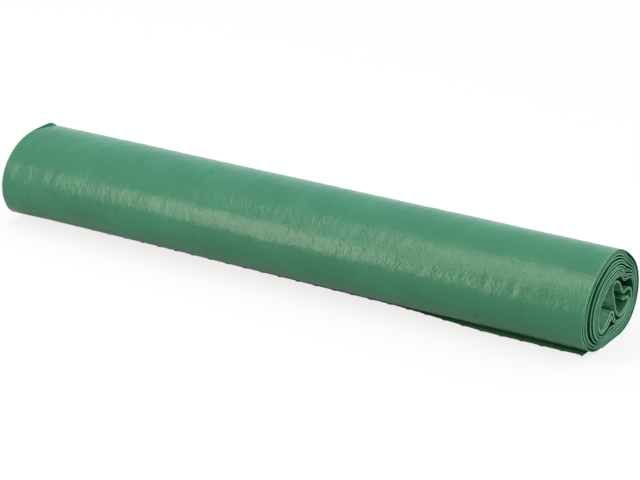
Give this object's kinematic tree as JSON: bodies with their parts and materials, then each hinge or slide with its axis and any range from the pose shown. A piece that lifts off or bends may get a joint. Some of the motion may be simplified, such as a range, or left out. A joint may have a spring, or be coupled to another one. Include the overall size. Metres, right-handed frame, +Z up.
{
  "type": "bin bag roll",
  "caption": "Roll of perforated green plastic refuse sacks, wound without a core, lying on a table with its torn end showing.",
  "frame": {"origin": "on the table under the middle of the roll, at the centre of the flat spot that it rests on", "axes": "+X along the roll, towards the end at which the torn edge steps out; +Y from the side where the torn edge shows to the back; +Z up"},
  "size_m": [0.35, 0.0638, 0.049],
  "materials": {
    "film": "satin green polyethylene film, lightly creased"
  },
  "bodies": {
    "root": {"bag_roll": "film"}
  },
  "joints": []
}
